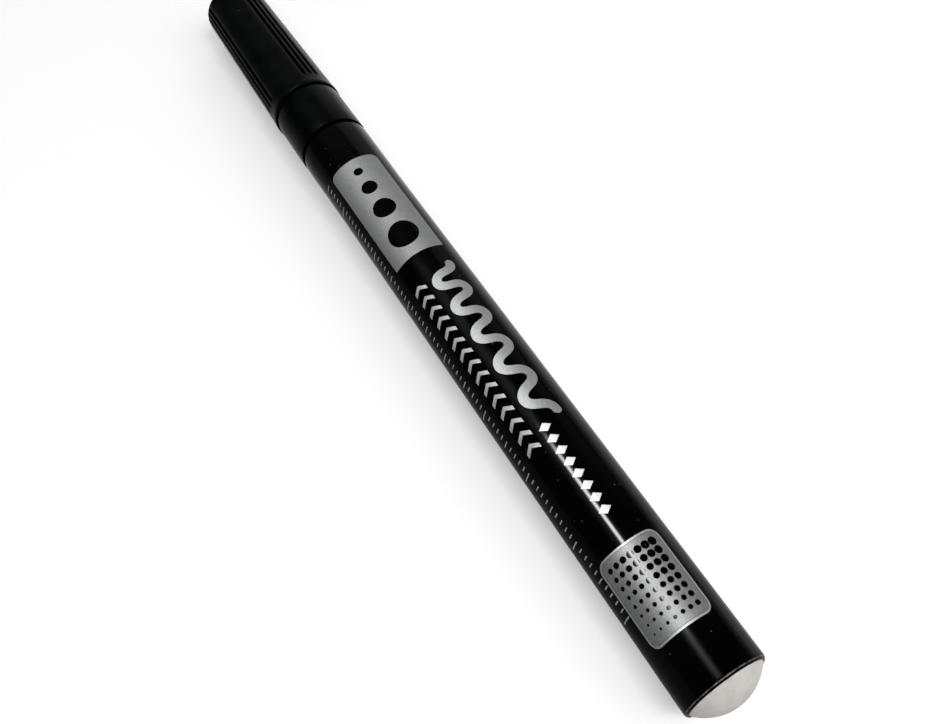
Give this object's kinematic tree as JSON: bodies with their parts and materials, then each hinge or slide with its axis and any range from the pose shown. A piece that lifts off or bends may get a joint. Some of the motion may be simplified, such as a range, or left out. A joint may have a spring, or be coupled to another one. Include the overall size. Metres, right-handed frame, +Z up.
{
  "type": "permanent marker",
  "caption": "Slim round permanent marker with a black lacquered metal barrel, domed light tail, smooth collar and a grooved pull-off cap over a fibre bullet nib.",
  "frame": {"origin": "under the middle of the pen's length, on the surface that it lies on", "axes": "+X along the pen from the tail to the cap, +Z up, +Y to the left when looking from tail to cap"},
  "size_m": [0.138, 0.0112, 0.0111],
  "materials": {
    "barrel": "gloss black lacquer with silver print",
    "tail_plug": "off-white moulded",
    "ink_reservoir": "ink-soaked fibre wadding",
    "reservoir_film": "clear wrapping film",
    "front_section": "smooth black moulded",
    "nib": "ink-soaked bonded fibre",
    "cap": "satin black moulded",
    "inner_cap": "natural soft moulded"
  },
  "bodies": {
    "pen_body": {"barrel": "barrel", "tail_plug": "tail_plug", "ink_reservoir": "ink_reservoir", "reservoir_film": "reservoir_film", "front_section": "front_section", "nib": "nib"},
    "cap_body": {"cap": "cap", "inner_cap": "inner_cap"}
  },
  "joints": [
    {"name": "cap_pull", "type": "slide", "parent": "pen_body", "child": "cap_body", "axis": [1, 0, 0], "range_m": [0, 0.036]}
  ]
}
